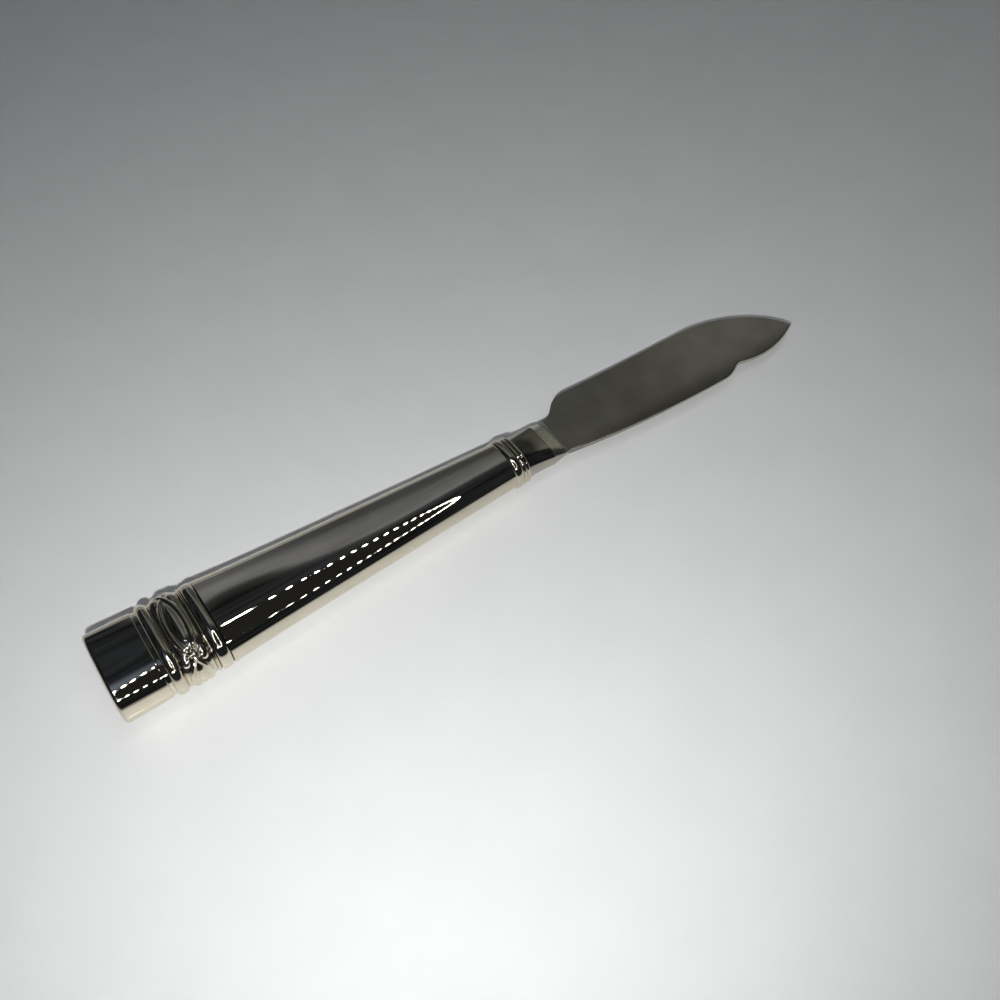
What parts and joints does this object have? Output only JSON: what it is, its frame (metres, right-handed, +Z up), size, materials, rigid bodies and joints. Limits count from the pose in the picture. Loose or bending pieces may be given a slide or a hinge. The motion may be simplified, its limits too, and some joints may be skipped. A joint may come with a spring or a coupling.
{
  "type": "master butter knife",
  "caption": "Master butter knife with a polished hollow handle, ringed butt with an interlaced frieze, beaded collar, stepped bolster and a broad satin blade with a notched edge.",
  "frame": {"origin": "on the surface that the knife lies on, under the middle of its length and width", "axes": "+X along the knife from the butt to the tip, +Y from the edge to the spine, +Z up, square to the flat of the blade"},
  "size_m": [0.178, 0.0208, 0.0114],
  "materials": {
    "polished_silver": "mirror polished",
    "silver_solder": "polished flush",
    "satin_steel": "satin blade, polished bolster",
    "cement": "matt"
  },
  "bodies": {
    "root": {"upper_handle_shell": "polished_silver", "lower_handle_shell": "polished_silver", "seam_solder": "silver_solder", "blade": "satin_steel", "tang_cement": "cement"}
  },
  "joints": []
}
